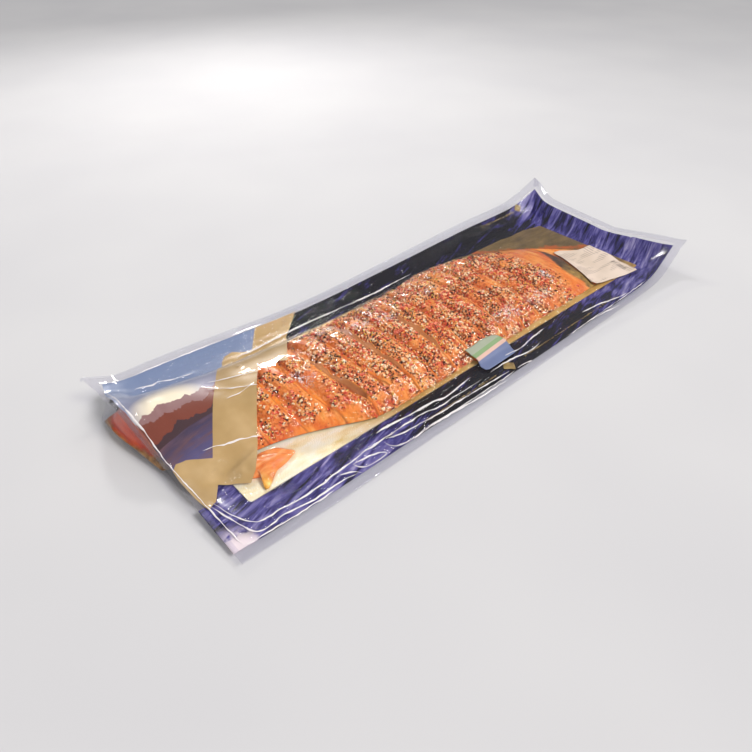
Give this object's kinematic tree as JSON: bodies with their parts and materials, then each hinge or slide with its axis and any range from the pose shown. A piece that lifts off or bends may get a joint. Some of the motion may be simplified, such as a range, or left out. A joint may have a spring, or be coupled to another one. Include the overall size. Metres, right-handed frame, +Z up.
{
  "type": "vacuum pack of smoked salmon",
  "caption": "Long vacuum pack of a seasoned smoked salmon side cut into portions, on a gold card board between a dark blue printed film and a clear film, with a price label and a sticker.",
  "frame": {"origin": "centre of the bottom of the pack's box", "axes": "+X along the pack, from its thick near end to the end with the price label. +Y across the pack, from the long edge with the sticker to the other one. +Z up, away from the surface the pack lies on."},
  "size_m": [0.696, 0.2622, 0.0474],
  "materials": {
    "printed_film": "glossy film printed deep blue with pale streaks",
    "gold_card": "metallic gold, finely embossed",
    "smoked_flesh": "moist smoked fish under a dry seasoned crust",
    "belly_flesh": "moist smoked fish, plain",
    "clear_film": "clear glossy film",
    "label_paper": "matt white paper",
    "sticker": "satin coated paper"
  },
  "bodies": {
    "root": {"lower_film": "printed_film", "gold_board": "gold_card", "salmon": "smoked_flesh", "belly_piece": "belly_flesh", "upper_film": "clear_film", "price_label": "label_paper", "side_sticker": "sticker"}
  },
  "joints": []
}
